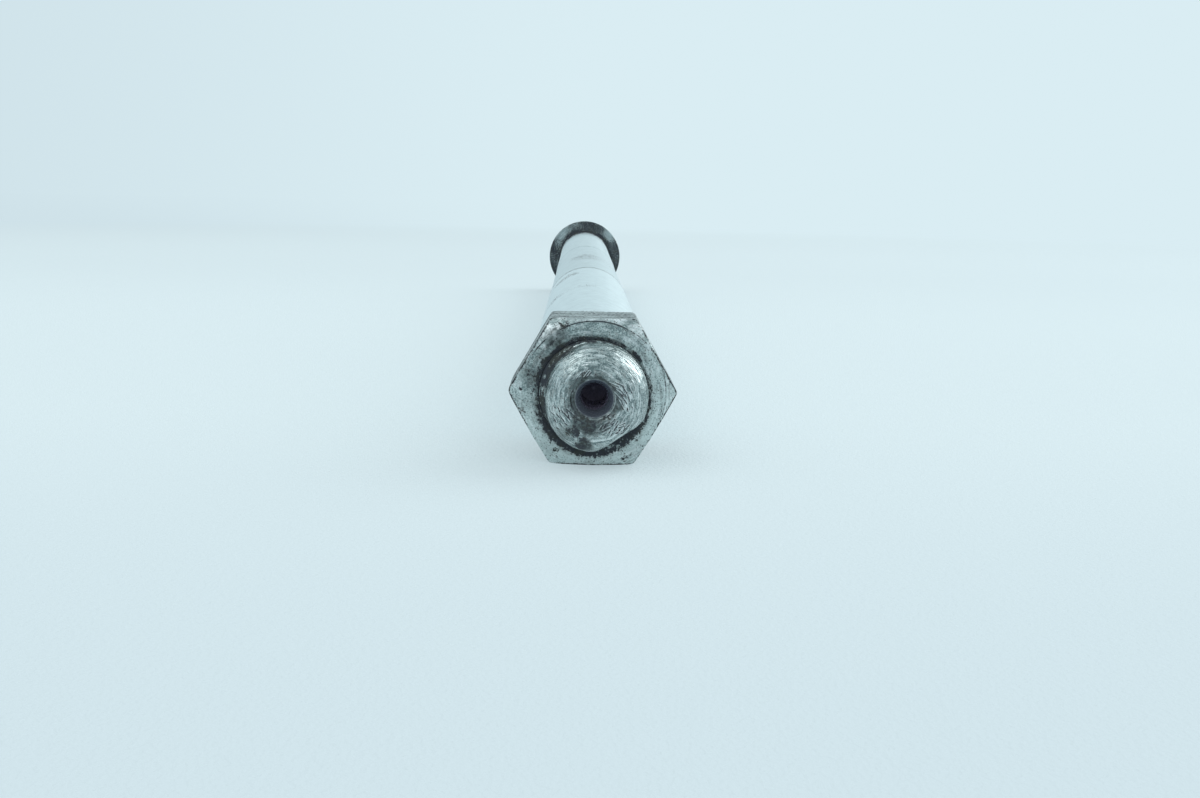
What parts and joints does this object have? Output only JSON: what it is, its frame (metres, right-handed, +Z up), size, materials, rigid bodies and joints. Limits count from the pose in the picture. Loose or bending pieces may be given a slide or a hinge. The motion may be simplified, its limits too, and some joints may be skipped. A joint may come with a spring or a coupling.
{
  "type": "swingarm pivot bolt",
  "caption": "Long steel pivot bolt with a flanged hex head, ground journals and a rounded threaded end that carries its hex nut, for pivoting a swingarm in a frame.",
  "frame": {"origin": "centre of the head flange's bearing face, on the bolt's axis", "axes": "+Y along the bolt's axis, from the nut towards the head; +Z up, square to a flat of both hexes, as the bolt lies"},
  "size_m": [0.03, 0.3467, 0.03],
  "materials": {
    "bolt_steel": "ground journals and a turned end, worn bright, with grime in the recesses",
    "nut_steel": "dull worn plating with fine pits and grease stains"
  },
  "bodies": {
    "root": {"pivot_bolt": "bolt_steel", "hex_nut": "nut_steel"}
  },
  "joints": []
}
